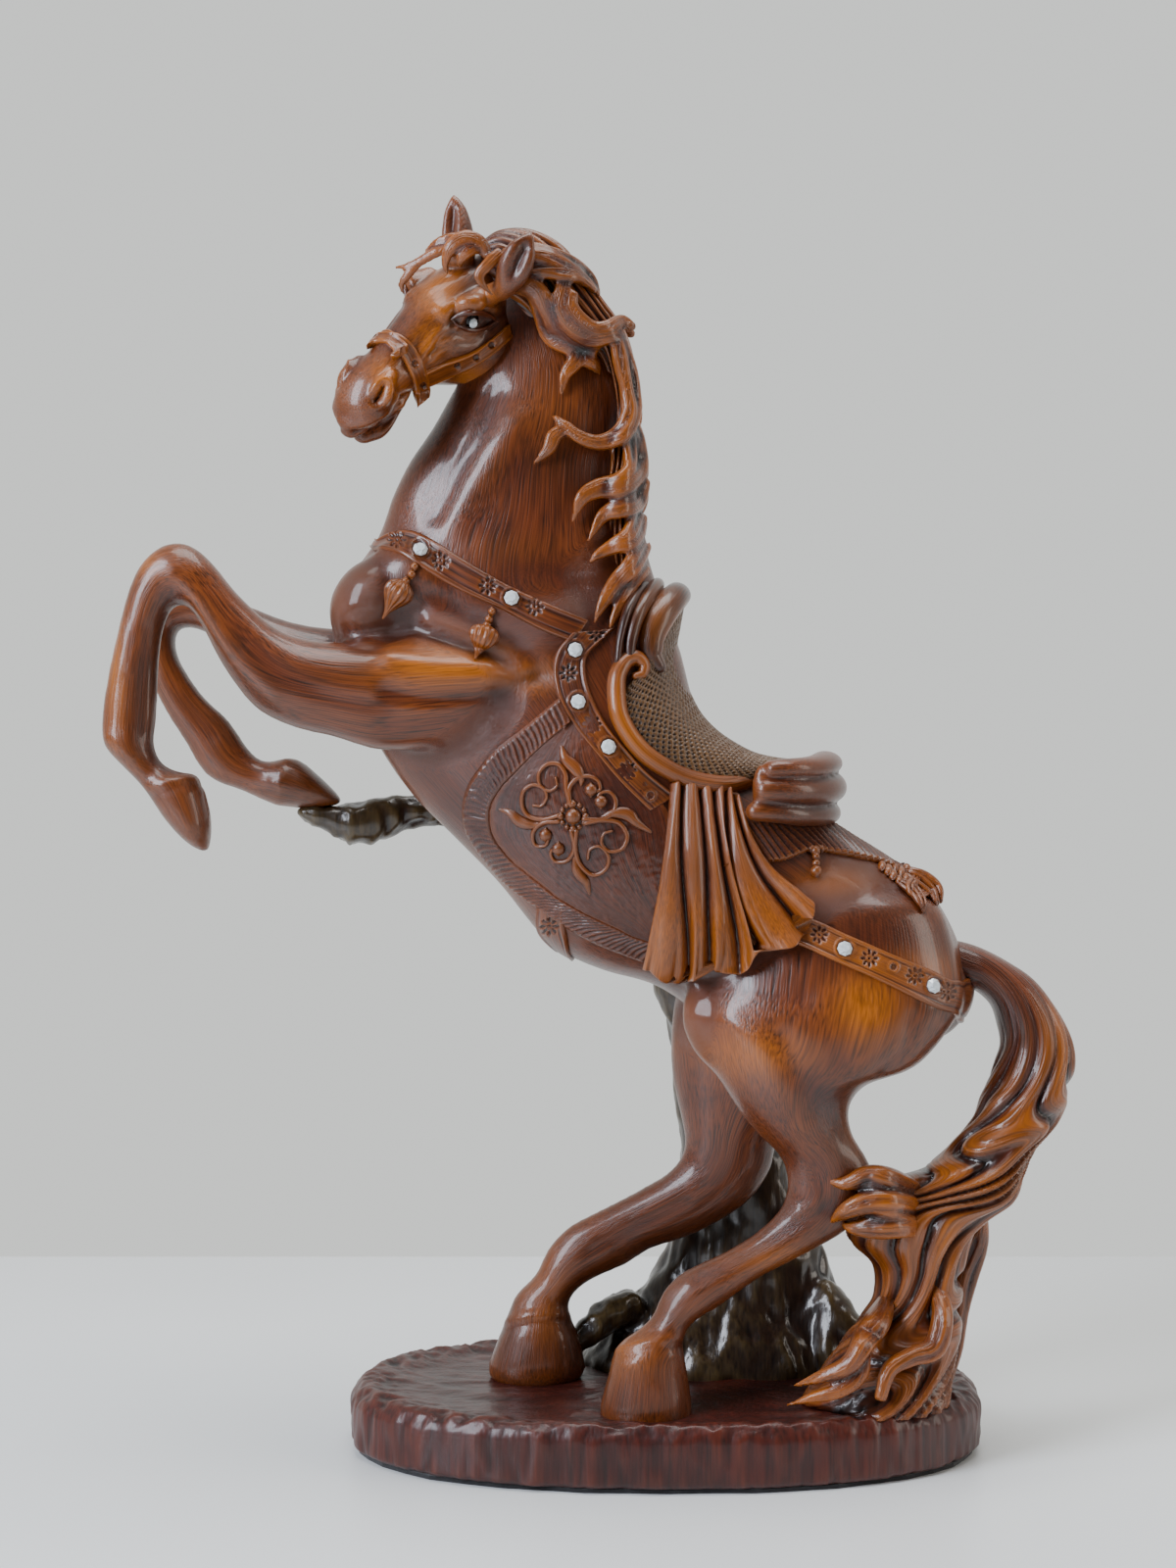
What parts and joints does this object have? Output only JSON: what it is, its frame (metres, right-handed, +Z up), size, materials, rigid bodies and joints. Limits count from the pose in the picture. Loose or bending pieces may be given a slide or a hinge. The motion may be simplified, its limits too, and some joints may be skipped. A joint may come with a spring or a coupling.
{
  "type": "rearing horse statue",
  "caption": "Rearing horse figure in saddle, drape and jewelled straps, propped by a tree stump on an oval base, cast in wood-look resin.",
  "frame": {"origin": "centre of the felt pad's underside, where the statue stands", "axes": "+Z up; the horse faces -X, and its near side, towards which it turns its head, faces -Y"},
  "size_m": [0.2864, 0.1129, 0.3732],
  "materials": {
    "lacquered_resin": "brown painted resin with brushed wood grain, gloss lacquer",
    "crystal": "clear faceted",
    "felt": "black felt"
  },
  "bodies": {
    "root": {"casting": "lacquered_resin", "felt_pad": "felt", "crystal_near_1": "crystal", "crystal_near_2": "crystal", "crystal_near_3": "crystal", "crystal_near_4": "crystal", "crystal_near_5": "crystal", "crystal_near_6": "crystal", "crystal_near_7": "crystal", "crystal_far_1": "crystal", "crystal_far_2": "crystal", "crystal_far_3": "crystal", "crystal_far_4": "crystal", "crystal_far_5": "crystal", "crystal_far_6": "crystal", "crystal_far_7": "crystal", "crystal_eye_near": "crystal", "crystal_eye_far": "crystal"}
  },
  "joints": []
}
